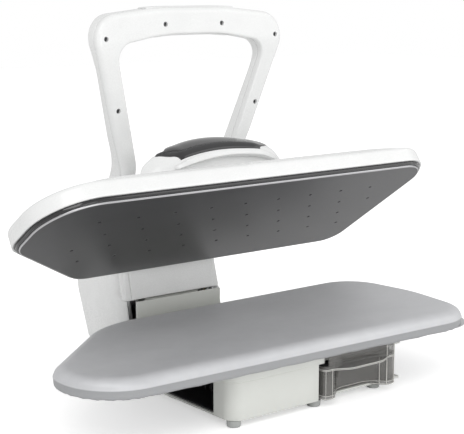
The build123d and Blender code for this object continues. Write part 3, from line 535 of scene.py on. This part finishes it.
def makeTank():
    # Rings of (setback of the front, distance outwards, height), from the floor's middle up the outside,
    # over the finger ledge, then down the inside.
    w, rim, floorTop, floorBottom = tank["wall"], tank["rim"], tank["floorTop"], tank["floorBottom"]
    rings = [(20, -3, 8.6), (20, -1, 8.9), (20, 0, 10), (20, 0, 47.2), (18, 0, 48.2), (-11, 0, 48.5),
             (-12, 0, 48.9), (-12, 0, 50.5), (-11, 0, 50.9), (5, 0, 51), (6, 0, 51.6), (6, 0, 54.6),
             (6, -0.4, rim), (6, -w, rim), (6, -w, 51.5), (20, -w, 49), (20, -w, floorTop)]
    stack = []
    for setback, distance, height in rings:
        points, normals = tankOutline(setback)
        flat = points + normals * distance
        stack.append(np.concatenate([flat, np.full((len(flat), 1), float(height))], axis=1))
    stack = np.stack(stack, axis=1)
    # Behind its front wall the floor is lifted over the base's tray.
    behind = np.clip((stack[..., 1] + 204) / 1.5, 0, 1)
    lifted = np.maximum(stack[..., 2], 8.5 + 3.3 * behind)
    stack[..., 2] = np.where(stack[..., 2] < 12, lifted, stack[..., 2])
    share = np.linspace(0, 1, 9)[1:][None, :, None]

    def closing(ring, height):
        ring = ring[:, None, :]
        middle = np.array([98.0, -130.0, height])
        return np.concatenate([ring, ring + (middle - ring) * share], axis=1)

    outerFloor, innerFloor = closing(stack[:, 0], floorBottom), closing(stack[:, -1], floorTop)
    outerFloor[..., 2] = np.where(outerFloor[..., 1] > -203.5, floorBottom, outerFloor[..., 2])
    points, normals = tankOutline(6)
    ahead = (points[:, 0] > tank["lipEnd"]) & (points[:, 1] < tank["fasciaBack"])
    top = tank["fasciaTop"]
    strip = [(-w, rim), (-w, top - 0.3), (-w + 0.3, top), (-0.3, top), (0, top - 0.3), (0, rim)]
    fascia = capped(carried(points[ahead], normals[ahead], strip))
    makePiece("waterTank", [grid(stack, closeRows=True), grid(outerFloor, closeRows=True),
                            grid(innerFloor, closeRows=True), fascia], "tank", ["water_tank"], smoky)

    # Painted highlights: pale beads that thicken the edges along the ledge and the floor, and up the
    # corners, coloured light to stand for light caught in the clear plastic's edges.
    def bead(points, radius):
        along = unit(np.gradient(points, axis=0))
        side = unit(np.cross(along, np.array([0.13, 0.11, 0.985])) + 1e-6)
        over = np.cross(side, along)
        angle = np.linspace(0, 2 * pi, 8, endpoint=False)
        across, up = np.cos(angle)[None, :, None], np.sin(angle)[None, :, None]
        return capped(points[:, None, :] + (side[:, None] * across + over[:, None] * up) * radius)

    beads = []
    for setback, height, radius in tank["beads"]:
        points, _ = tankOutline(setback)
        front = points[points[:, 1] < tank["front"] + 28]
        front = front[np.argsort(front[:, 0], kind="stable")]
        beads.append(bead(np.concatenate([front, np.full((len(front), 1), height)], axis=1), radius))
    for x, y, high, radius in tank["uprights"]:
        upright = np.stack([np.full(12, x), np.full(12, y), np.linspace(10.4, high, 12)], axis=-1)
        beads.append(bead(upright, radius))
    makePiece("tankPaintedHighlights", beads, "tank", [], paintedEdgeHighlight)


makeTank()
print("tank made")

# Handle: a front shell and a rear shell round a window, standing on the column

handle = {
    "centreX": 14.0,
    "windowCentre": (0.0, 330.0),
    "outer": [(84, 18, 10), (86, 150, 150), (101, 290, 120), (120, 342, 150), (172, 509, 36),
              (60, 521, 400)],
    "window": [(84, 255, 18), (82, 300, 60), (130, 470, 22), (50, 484, 300)],
    "frontLine": [(83, 18, 0), (107, 138, 80), (113, 200, 25), (70, 288, 60), (41, 470, 100),
                  (44, 521, 0)],
    "backLine": [(207, 18, 0), (242, 112, 45), (98, 310, 80), (66, 455, 150), (79, 521, 0)],
    "panelLow": 98.0,
    "split": 11.0,
    "outerRound": (8.0, 7.0),
    "windowRound": (3.0, 3.0),
    "backRound": 7.0,
    "wall": 2.6,
    "steps": 420,
    "screws": [(49, 498), (147, 480), (120.5, 381)],
    "holeRadius": 3.5,
    # Raised panel: lowest and highest z, left and right from the middle
    "panel": (98.6, 244.0, -74.0, 75.0),
    "panelProud": 2.2,
    "panelRound": 2.5,
}


def depthLine(corners):
    points, _ = roundedPath(corners, 8, 16, closed=False)
    order = np.argsort(points[:, 1])
    return lambda z: np.interp(z, points[order, 1], points[order, 0])


frontY, backY = depthLine(handle["frontLine"]), depthLine(handle["backLine"])


def aroundWindow(corners):
    # An outline read as a function of the angle round the window's centre.
    points, normals = roundedPath(mirrored(corners), 60, 60)
    fromCentre = points - np.array(handle["windowCentre"])
    angle = np.arctan2(fromCentre[:, 1], fromCentre[:, 0]) % (2 * pi)
    order = np.argsort(angle)
    angle, points, normals = angle[order], points[order], normals[order]

    def at(turn):
        where = [np.interp(turn, angle, column, period=2 * pi) for column in (*points.T, *normals.T)]
        return np.stack(where[:2], -1), unit(np.stack(where[2:], -1))

    return at


def windowAngles(outerAt, windowAt, count, extra=()):
    # Angles spaced so that both outlines get even steps.
    turn = np.linspace(0, 2 * pi, 4001)
    length = 0
    for at in (outerAt, windowAt):
        step = np.linalg.norm(np.diff(at(turn)[0], axis=0), axis=1)
        length = length + np.concatenate([[0], np.cumsum(step)]) / step.sum()
    angles = np.interp(np.linspace(0, length[-1], count, endpoint=False), length, turn)
    return np.sort(np.concatenate([angles, np.array(extra, float) % (2 * pi)]))


def shellRows(outer, outerNormal, window, windowNormal, faceY, wallWindow, wallOuter, outerRound,
              windowRound, sign):
    # Across the band: window wall, its rounded edge, the face, the outer rounded edge, the outer wall.
    a = quarter(7)[None, :, None]
    rx, ry = [r[:, None, None] for r in outerRound]
    wx, wy = [r[:, None, None] for r in windowRound]
    windowEdge = window[:, None, :] + windowNormal[:, None, :] * wx * (1 - np.cos(a))
    outerEdge = outer[:, None, :] - outerNormal[:, None, :] * rx * (1 - np.sin(a))
    windowDepth, outerDepth = wy * (1 - np.sin(a)), ry * (1 - np.cos(a))
    t = np.linspace(0, 1, 18)[1:-1][None, :, None]
    face = windowEdge[:, -1:] + (outerEdge[:, :1] - windowEdge[:, -1:]) * t
    flat = np.concatenate([windowEdge, face, outerEdge], axis=1)
    depth = np.concatenate([windowDepth, np.zeros(face.shape[:2] + (1,)), outerDepth], axis=1)[..., 0]
    y = faceY(flat[..., 1]) + sign * depth
    s = np.linspace(0, 1, 5)[None, :]
    windowY = wallWindow[:, None] + (y[:, :1] - wallWindow[:, None]) * s[:, :-1]
    outerY = y[:, -1:] + (wallOuter[:, None] - y[:, -1:]) * s[:, 1:]
    walls = [np.repeat(flat[:, :1], 4, axis=1), flat, np.repeat(flat[:, -1:], 4, axis=1)]
    flat, y = np.concatenate(walls, axis=1), np.concatenate([windowY, y, outerY], axis=1)
    return np.stack([flat[..., 0] + handle["centreX"], y, flat[..., 1]], axis=-1)


def pierce(piece, places, radius):
    # Cuts round holes along Y and keeps the walled and cut form as the piece's own mesh.
    work = bmesh.new()
    for x, y, z in places:
        at = Matrix.Translation((x * 0.001, y * 0.001, z * 0.001)) @ Matrix.Rotation(pi / 2, 4, "X")
        bmesh.ops.create_cone(work, cap_ends=True, segments=40, radius1=radius * 0.001,
                              radius2=radius * 0.001, depth=0.014, matrix=at)
    mesh = bpy.data.meshes.new("drill")
    work.to_mesh(mesh)
    work.free()
    drill = bpy.data.objects.new("drill", mesh)
    bpy.context.scene.collection.objects.link(drill)
    cut = piece.modifiers.new("holes", "BOOLEAN")
    cut.operation, cut.solver, cut.object = "DIFFERENCE", "EXACT", drill
    finished = bpy.data.meshes.new_from_object(piece.evaluated_get(bpy.context.evaluated_depsgraph_get()))
    piece.modifiers.clear()
    piece.data = finished
    bpy.data.objects.remove(drill)


def makeHandle():
    h = handle
    windowAt = aroundWindow(h["window"])
    outerAt = aroundWindow([(85.2, h["panelLow"], 2)] + h["outer"][1:])
    turn = windowAngles(outerAt, windowAt, h["steps"])
    outer, outerNormal = outerAt(turn)
    window, windowNormal = windowAt(turn)
    low = np.interp(outer[:, 1], [h["panelLow"] + 2, 140], [0.15, 1.0])
    flatRound = np.full(len(turn), 1.0)
    rows = shellRows(outer, outerNormal, window, windowNormal, frontY,
                     frontY(window[:, 1]) + h["split"], frontY(outer[:, 1]) + h["split"],
                     (h["outerRound"][0] * low, h["outerRound"][1] * low),
                     (h["windowRound"][0] * flatRound, h["windowRound"][1] * flatRound), 1)
    front = makePiece("handleFront", [grid(rows, closeRows=True)], "handle", ["handle_front_shell"],
                      shellWhite, wall=h["wall"], closed=False)

    outerAt = aroundWindow(h["outer"])
    # Extra angles where the cheeks step forward below the front shell.
    corner = [np.arctan2(z - h["windowCentre"][1], side * 85.1) for z in (97.8, 98.2) for side in (-1, 1)]
    turn = windowAngles(outerAt, windowAt, h["steps"], corner)
    outer, outerNormal = outerAt(turn)
    window, windowNormal = windowAt(turn)
    cheek = frontY(outer[:, 1]) + np.where(outer[:, 1] < h["panelLow"], 0.0, h["split"])
    back = np.full(len(turn), h["backRound"])
    rows = shellRows(outer, outerNormal, window, windowNormal, backY, frontY(window[:, 1]) + h["split"],
                     cheek, (back * 1.2, back), (back * 0.6, back * 0.6), -1)
    faces = gridFaces(rows.shape[0], rows.shape[1], closeRows=True)
    corners = rows.reshape(-1, 3)[faces]
    flatBottom = (np.ptp(corners[..., 2], axis=1) < 0.6) & (corners[..., 2].max(axis=1) < 24)
    rear = makePiece("handleRear", [(rows, faces[~flatBottom])], "handle", ["handle_rear_shell"],
                     shellWhite, wall=h["wall"], closed=False)

    # Six sunk screws: round holes in the front shell, with a well behind each.
    places = [(h["centreX"] + side * x, float(frontY(z)), z) for x, z in h["screws"] for side in (-1, 1)]
    pierce(front, places, h["holeRadius"])
    r = h["holeRadius"]
    well = [(0, 6.2), (r, 6.2), (r, 1.7), (r + 1.5, 1.7), (r + 1.5, 8.0), (0, 8.0)]
    wells = []
    for x, y, z in places:
        points, faces = turnedShape(well, (0, 0, 0), 32)
        wells.append((points[..., [0, 2, 1]] + np.array([x, y, z]), faces))
    makePiece("screwWells", wells, "handle", [], shellWhite)

    # A flat raised panel with soft edges on the front of the column.
    low, high, left, right = h["panel"]
    x, z = np.meshgrid(np.linspace(left, right, 101), np.linspace(low, high, 101))
    inside = np.minimum(np.minimum(x - left, right - x), np.minimum(z - low, high - z))
    proud = h["panelProud"] * np.sqrt(1 - (1 - np.clip(inside / h["panelRound"], 0, 1)) ** 2)
    slab = np.stack([x + h["centreX"], frontY(z) + 0.4 - proud, z], axis=-1)
    panel = makePiece("columnPanel", [grid(slab)], "handle", [], shellWhite, wall=1.2, closed=False)


makeHandle()
print("handle made")

# Platen pieces are worked out lying flat, then tipped back and lifted as the raised platen is.

platen = {
    "tilt": 34.2,
    "at": (0.0, -40.0, 226.4),
    "rim": [(-330, -127, 78), (319, -127, 60), (319, 147, 38), (-171, 147, 58), (-330, 4, 53)],
    "rimBottom": 7.0,
    "rimTop": 31.0,
    "crown": 47.8,
    "crest": [(-120, -64, 50), (148, -64, 50), (148, 68, 50), (-60, 68, 50), (-120, 10, 40)],
    "draft": 2.0,
    "ring": [(-3.4, 12), (-3.4, 7.6), (-3.6, 7.2), (-4.2, 6.9), (-4.2, 3.6), (-4.35, 3.1), (-4.8, 2.75),
             (-5.4, 2.65), (-6.5, 2.65), (-6.9, 2.75), (-7.15, 3.1), (-7.2, 6.0), (-13.4, 6.0),
             (-13.4, 12)],
    "soleEdge": [(-7.7, 2.6), (-7.42, 2.5), (-7.4, 1.2), (-7.55, 0.8), (-8.5, -0.08), (-8.8, -0.1),
                 (-9.2, 0.1), (-7.8, 1.5)],
}


def raised(points):
    # Turn about X by minus the tilt, then move.
    t = radians(platen["tilt"])
    x, v, h = points[..., 0], points[..., 1], points[..., 2]
    ox, oy, oz = platen["at"]
    return np.stack([x + ox, v * cos(t) + h * sin(t) + oy, -v * sin(t) + h * cos(t) + oz], axis=-1)


def makePlaten():
    p = platen
    points, normals = roundedPath(p["rim"], 24, 18)
    crest, _ = roundedPath(p["crest"], 24, 18)
    lean = tan(radians(p["draft"]))
    low = p["rimBottom"]
    edge = [(-3.2, low), (-0.9, low), (-0.3, low + 0.25), (0, low + 0.9)]
    side = [(-(z - low) * lean, z) for z in np.linspace(low + 4, p["rimTop"] - 7, 5)]
    x0, z0 = side[-1]
    shoulder = [(x0 - 7.5 * (1 - cos(t)), z0 + 7 * sin(t) * 0.98) for t in quarter(9)[1:]]
    skirt = carried(points, normals, edge + side + shoulder)
    last = skirt[:, -1:, :]
    t = np.linspace(0, 1, 26)[1:][None, :, None]
    flat = last[..., :2] + (crest[:, None, :] - last[..., :2]) * t
    rise = last[..., 2:] + (p["crown"] - last[..., 2:]) * (1 - (1 - t) ** 3)
    dome = np.concatenate([flat, np.broadcast_to(rise, flat.shape[:2] + (1,))], axis=-1)
    rim, middle = dome[:, -1:, :], np.array([14.0, 0.0, p["crown"]])
    top = rim + (middle - rim) * np.linspace(0, 1, 7)[1:][None, :, None]
    shell = raised(np.concatenate([skirt, dome, top], axis=1))
    housing = makePiece("platenHousing", [grid(shell, closeRows=True)], "platen", ["platen_housing"],
                        shellWhite, wall=2.8, closed=False)

    band = raised(carried(points, normals, p["ring"]))
    piece = makePiece("insulatingRing", [grid(band, closeRows=True, closeColumns=True)], "platen",
                      ["insulating_ring"], glossBlack)
    # The turned edge of the sole is left bare.
    edge = raised(carried(points, normals, p["soleEdge"]))
    piece = makePiece("soleEdge", [grid(edge, closeRows=True, closeColumns=True)], "platen", [],
                      steelBright)


makePlaten()
print("platen made")

# Control pod

pod = {
    "centre": 6.0,
    "half": 127.0,
    "endFrom": 110.0,
    "floor": 47.4,
    "crown": 123.0,
    "arch": 212.0,
    "lensEdge": (86.2, 0.0015, 16.0),
    "lipEdge": (77.2, 0.0018, 14.0),
    "visor": (14.5, 90.5),
    "front": [(0, -48), (64, -48), (102, -37), (127, -16)],
    "rear": [(0, 40), (58, 38), (86, 0), (127, -13)],
    # Middle and reach in x, lowest height, the y where it is met, and slope of the room under the arms
    "armRoom": (14.0, 91.0, 65.0, 48.0, 0.467),
    # First and last row of the lens as shares of the section
    "lensRows": (0.175, 0.735),
    "buttons": [("power_button", -38.0), ("steam_button", 0.0), ("timer_button", 38.0)],
    "cap": [(0, -0.9), (3.5, -0.7), (5.6, -0.25), (6.4, 0), (6.8, -0.3), (7.0, -0.9), (7.0, -9)],
}


def smoothCurve(knots, u):
    # Cosine-blended reading of a few (distance, value) pairs, even about the middle.
    knots = np.array(knots, float)
    fine = np.linspace(0, knots[-1, 0], 241)
    value = np.interp(fine, knots[:, 0], knots[:, 1])
    kernel = np.hanning(41) / np.hanning(41).sum()
    value = np.convolve(np.pad(value, 20, mode="reflect", reflect_type="odd"), kernel, mode="valid")
    return np.interp(np.abs(u), fine, value)


def splineRows(controls, count):
    # Clamped cubic B-spline through rows of control points, worked out as one matrix product.
    n = controls.shape[0]
    knots = np.concatenate([np.zeros(3), np.linspace(0, 1, n - 2), np.ones(3)])
    t = np.linspace(0, 1, count)
    t[-1] -= 1e-9
    basis = ((t[:, None] >= knots[:-1]) & (t[:, None] < knots[1:])).astype(float)
    for degree in range(1, 4):
        k = len(knots) - 1 - degree
        left = knots[degree:degree + k] - knots[:k]
        right = knots[degree + 1:degree + 1 + k] - knots[1:k + 1]
        rising = (t[:, None] - knots[:k]) / np.where(left > 0, left, 1)
        falling = (knots[degree + 1:degree + 1 + k] - t[:, None]) / np.where(right > 0, right, 1)
        basis = (np.where(left > 0, rising, 0) * basis[:, :k]
                 + np.where(right > 0, falling, 0) * basis[:, 1:k + 1])
    return np.tensordot(basis, controls, axes=(1, 0))


def podLine(name, u):
    # Height of an arched line: its crown less a factor times the squared distance from its own middle.
    crown, bend, middle = pod[name]
    return crown - bend * (u + pod["centre"] - middle) ** 2


def podCrown(u):
    # Height of the pod's top, an arc of a circle, at each distance u from its middle.
    return pod["crown"] - pod["arch"] + np.sqrt(pod["arch"] ** 2 - u ** 2)


def podControls(u):
    # Control points of the pod's section at each distance u: up the front, over, down the rear.
    p = pod
    front, rear = smoothCurve(p["front"], u), smoothCurve(p["rear"], u)
    crown, start = podCrown(u), p["endFrom"]
    end = np.sqrt(np.clip(1 - (np.clip(np.abs(u) - start, 0, None) / (p["half"] - start)) ** 3, 0, 1))
    crown = p["floor"] + (crown - p["floor"]) * end
    lens = np.minimum(podLine("lensEdge", u), crown - 3)
    lens = p["floor"] + (lens - p["floor"]) * end
    deep = rear - front
    f = p["floor"] + 0 * u
    hollow = 9 * np.clip(1 - (u / 94) ** 4, 0, 1)
    rows = [(front + 1 + hollow, f), (front + hollow, f + (lens - f) * 0.55), (front + 0.5, lens - 1),
            (front + 0.03 * deep, lens + 0.40 * (crown - lens)),
            (front + 0.045 * deep, lens + 0.47 * (crown - lens)),
            (front + 0.19 * deep, crown - 0.05 * (crown - f)), (front + 0.38 * deep, crown + 1.8),
            (front + 0.60 * deep, crown - 0.5), (front + 0.80 * deep, crown - 0.22 * (crown - f)),
            (front + 0.96 * deep, f + (crown - f) * 0.42), (rear, f)]
    return np.stack([np.stack(pair, axis=-1) for pair in rows])


def podSurface(u, count):
    # Outside the arms' inner faces the top stays under a slope that leaves them room.
    section = splineRows(podControls(u), count)
    middle, reach, low, rear, slope = pod["armRoom"]
    x = (u + pod["centre"])[None, :]
    limit = low + (rear - section[..., 0]) * slope + np.clip(reach - np.abs(x - middle), 0, None)
    height = np.minimum(section[..., 1], limit)
    return np.stack([np.broadcast_to(x, height.shape), section[..., 0], height], axis=-1)


def makePod():
    p = pod
    u = p["half"] * np.sin(np.linspace(-pi / 2, pi / 2, 121))
    body = podSurface(u, 60)
    housing = makePiece("podHousing", [grid(raised(body))], "platen", ["pod_housing"], shellWhite,
                        wall=2.4, closed=False)

    # Lens: the part of the same surface between the lip line and the rear slope, wider at the top.
    first, last = p["lensRows"]
    rows = np.linspace(first, last, 54)
    spread = np.linspace(-1, 1, 121)
    width = (70 + 28 * np.clip((rows - first) / 0.35, 0, 1) ** 1.3
             - 34 * np.clip((rows - 0.5) / (last - 0.5), 0, 1) ** 2)
    across = width[:, None] * spread[None, :]
    # The rows are read from a finer grid of the surface, each point blended from its four neighbours.
    fine = podSurface(np.linspace(-p["half"], p["half"], 473), 241)
    column = (across + p["half"]) / (2 * p["half"]) * 472
    row = np.broadcast_to((rows * 240)[:, None], column.shape)
    c0, r0 = np.floor(column).astype(int), np.floor(row).astype(int)
    dc, dr = (column - c0)[..., None], (row - r0)[..., None]
    lens = (fine[r0, c0] * (1 - dr) * (1 - dc) + fine[r0 + 1, c0] * dr * (1 - dc)
            + fine[r0, c0 + 1] * (1 - dr) * dc + fine[r0 + 1, c0 + 1] * dr * dc)
    outward = unit(np.cross(np.gradient(lens, axis=1), np.gradient(lens, axis=0)))
    outward *= np.sign(outward[..., 2:].mean())
    rim = np.minimum(1, 6 * np.minimum.outer(np.minimum(rows - first, last - rows) / (last - first) * 4,
                                             (1 - np.abs(spread)) * 5))
    lens = lens + outward * (0.1 + 0.8 * np.clip(rim, 0, 1))[..., None]
    piece = makePiece("podLens", [grid(raised(lens))], "platen", ["pod_lens"], glossBlack, wall=2.0,
                      closed=False)

    # Visor: a band that stands out in front of the pod under the lens and thins out at both ends.
    middle, reach = p["visor"]
    share = np.linspace(-1, 1, 121)
    u = share * reach + middle - p["centre"]
    front = smoothCurve(p["front"], u)
    taper = np.sqrt(1 - share ** 4)
    high = podLine("lensEdge", u) + 0.5
    low = high - (high - podLine("lipEdge", u)) * (0.35 + 0.65 * taper)
    out = 8.5 * taper
    ring = [(front + 2, high), (front - out * 0.5, high - 0.3), (front - out * 0.92, high - 1.2),
            (front - out, high - 2.4), (front - out, low + 1.2), (front - out * 0.94, low + 0.3),
            (front - out * 0.8, low), (front - out * 0.45, low + 0.8), (front + 2, low + 1.5)]
    band = np.stack([np.stack([u + p["centre"], v, h], axis=-1) for v, h in ring], axis=1)
    visor = makePiece("podVisor", [capped(raised(band))], "platen", ["pod_visor"], shellWhite)

    for name, offset in p["buttons"]:
        points, faces = turnedShape(p["cap"], (p["centre"] + offset, 2, podCrown(offset) + 2))
        button = makePiece(name.replace("_b", "B"), [(raised(points), faces)], name, [name], buttonGrey,
                           wall=1.2, closed=False)


makePod()
print("pod made")

# Studio

studio = {
    "cameraAt": (-1.0879, -1.4543, 0.5571),
    "cameraTurn": (79.775, 0.0, -37.99),
    "lens": 101.57,
    "world": 0.75,
    # (name, power, size, place, aim)
    "lamps": [("keyLight", 18.0, 1.6, (-1.6, -1.4, 2.2), (0, 0, 0.2)),
              ("frontLight", 9.0, 1.1, (-0.3, -2.2, 0.5), (0, 0, 0.15)),
              ("fillLight", 8.0, 1.8, (1.9, -1.2, 1.2), (0, 0, 0.2))],
    "floor": 6.0,
    "floorGlow": 0.45,
}


def makeStudio():
    s = studio
    camera = bpy.data.objects.new("camera", bpy.data.cameras.new("camera"))
    camera.data.lens, camera.data.sensor_width = s["lens"], 36
    camera.location = s["cameraAt"]
    camera.rotation_euler = [radians(a) for a in s["cameraTurn"]]
    bpy.context.scene.collection.objects.link(camera)
    bpy.context.scene.camera = camera

    world = bpy.data.worlds.new("studioWorld")
    bpy.context.scene.world = world
    world.use_nodes = True
    nodes, links = world.node_tree.nodes, world.node_tree.links
    background, path = nodes["Background"], nodes.new("ShaderNodeLightPath")
    background.inputs["Color"].default_value = (1, 1, 1, 1)
    seen = nodes.new("ShaderNodeMath")
    seen.operation = "MAXIMUM"
    links.new(path.outputs["Is Camera Ray"], seen.inputs[0])
    links.new(path.outputs["Is Transmission Ray"], seen.inputs[1])
    level = nodes.new("ShaderNodeMapRange")
    level.inputs["To Min"].default_value, level.inputs["To Max"].default_value = s["world"], 1.0
    links.new(seen.outputs[0], level.inputs["Value"])
    links.new(level.outputs["Result"], background.inputs["Strength"])

    for name, power, size, place, aim in s["lamps"]:
        lamp = bpy.data.objects.new(name, bpy.data.lights.new(name, "AREA"))
        lamp.data.energy, lamp.data.size = power, size
        way = np.array(aim) - np.array(place)
        flat = np.hypot(way[0], way[1])
        lamp.location = place
        lamp.rotation_euler = (pi / 2 - np.arctan2(-way[2], flat), 0, np.arctan2(-way[0], way[1]))
        bpy.context.scene.collection.objects.link(lamp)

    mesh = bpy.data.meshes.new("floor")
    f = s["floor"]
    mesh.from_pydata([(-f, -f, 0), (f, -f, 0), (f, f, 0), (-f, f, 0)], [], [(0, 1, 2, 3)])
    floor = bpy.data.objects.new("floor", mesh)
    bpy.context.scene.collection.objects.link(floor)
    paint = Paint("floorWhite", (0.9, 0.9, 0.9), 0.8)
    paint.set("Emission Color", (1, 1, 1, 1))
    seen = paint.add("ShaderNodeLightPath", output="Is Camera Ray")
    paint.set("Emission Strength", seen * s["floorGlow"])
    mesh.materials.append(paint.material)


makeStudio()
bpy.context.scene.view_settings.view_transform = "Standard"
print("studio made")
